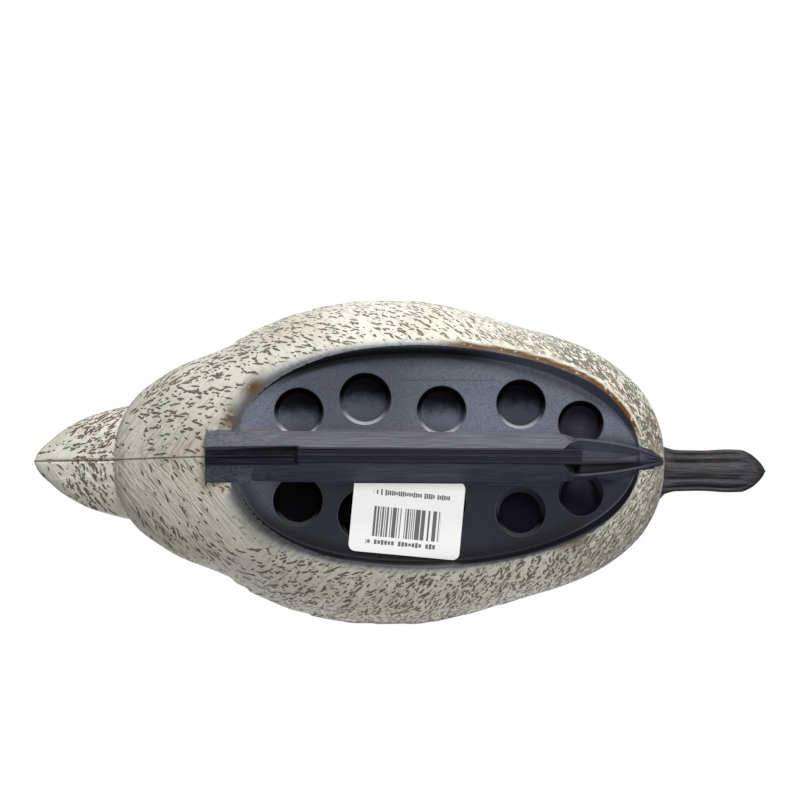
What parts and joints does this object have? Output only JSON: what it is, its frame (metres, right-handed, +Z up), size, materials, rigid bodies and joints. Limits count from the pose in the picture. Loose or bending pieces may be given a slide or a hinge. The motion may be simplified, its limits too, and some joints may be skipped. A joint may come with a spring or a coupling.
{
  "type": "duck decoy",
  "caption": "Floating teal decoy moulded in plastic: a sitting hen duck with carved feathers, a sunk base panel with round recesses, and a keel underneath.",
  "frame": {"origin": "on the surface the decoy stands on, under the middle of the whole bird's box", "axes": "+X from tail to bill, +Y the bird's left side, +Z up"},
  "size_m": [0.34, 0.1462, 0.1477],
  "materials": {
    "painted_plastic": "cream sprayed plastic with fine dark brown feather strokes, black base and bill",
    "label_paper": "smooth white coated paper"
  },
  "bodies": {
    "root": {"decoy_body": "painted_plastic", "paper_label": "label_paper"}
  },
  "joints": []
}
